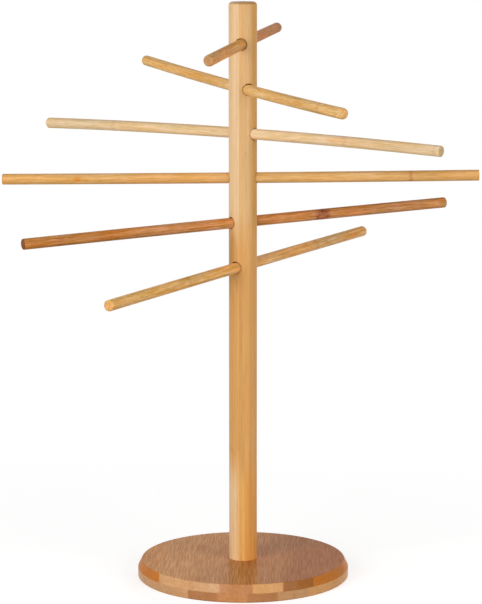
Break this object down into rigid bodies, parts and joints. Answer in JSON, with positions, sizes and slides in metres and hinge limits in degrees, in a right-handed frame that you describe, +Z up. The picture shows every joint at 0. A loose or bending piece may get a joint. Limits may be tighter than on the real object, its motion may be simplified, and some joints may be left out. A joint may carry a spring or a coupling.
{
  "type": "pasta drying rack",
  "caption": "Bamboo pasta drying rack: a round foot, an upright post and straight rods that slide in bores through it, turned in a spiral, to hang fresh pasta on.",
  "frame": {"origin": "centre of the foot's underside, on the post's axis and on the table", "axes": "+Z up along the post, +X to the right and +Y away from someone in front; the fourth rod from the top runs nearly along X"},
  "size_m": [0.4047, 0.4019, 0.495],
  "materials": {
    "base_bamboo": "satin lacquer over two plies of caramel bamboo strips",
    "post_bamboo": "satin lacquer over light bamboo, grain along the post",
    "pale_rod_bamboo": "satin bamboo dowel, pale",
    "golden_rod_bamboo": "satin bamboo dowel, golden",
    "dark_rod_bamboo": "satin bamboo dowel, darker caramel",
    "screw_steel": "zinc-plated steel"
  },
  "bodies": {
    "stand": {"base_plate": "base_bamboo", "post": "post_bamboo", "base_screw": "screw_steel"},
    "rod_1": {"rod_1": "dark_rod_bamboo"},
    "rod_2": {"rod_2": "golden_rod_bamboo"},
    "rod_3": {"rod_3": "pale_rod_bamboo"},
    "rod_4": {"rod_4": "golden_rod_bamboo"},
    "rod_5": {"rod_5": "dark_rod_bamboo"},
    "rod_6": {"rod_6": "golden_rod_bamboo"}
  },
  "joints": [
    {"name": "rod_1_slide", "type": "slide", "parent": "stand", "child": "rod_1", "axis": [-0.1426, -0.9898, 0.0033], "range_m": [-0.2068, 0.2432]},
    {"name": "rod_2_slide", "type": "slide", "parent": "stand", "child": "rod_2", "axis": [0.4129, -0.9103, -0.0297], "range_m": [-0.2129, 0.2371]},
    {"name": "rod_3_slide", "type": "slide", "parent": "stand", "child": "rod_3", "axis": [0.8211, -0.5707, 0], "range_m": [-0.2173, 0.2327]},
    {"name": "rod_4_slide", "type": "slide", "parent": "stand", "child": "rod_4", "axis": [0.998, -0.061, 0.0157], "range_m": [-0.2222, 0.2278]},
    {"name": "rod_5_slide", "type": "slide", "parent": "stand", "child": "rod_5", "axis": [0.8835, 0.4678, 0.0227], "range_m": [-0.2242, 0.2258]},
    {"name": "rod_6_slide", "type": "slide", "parent": "stand", "child": "rod_6", "axis": [0.5342, 0.845, 0.0263], "range_m": [-0.2278, 0.2222]}
  ]
}
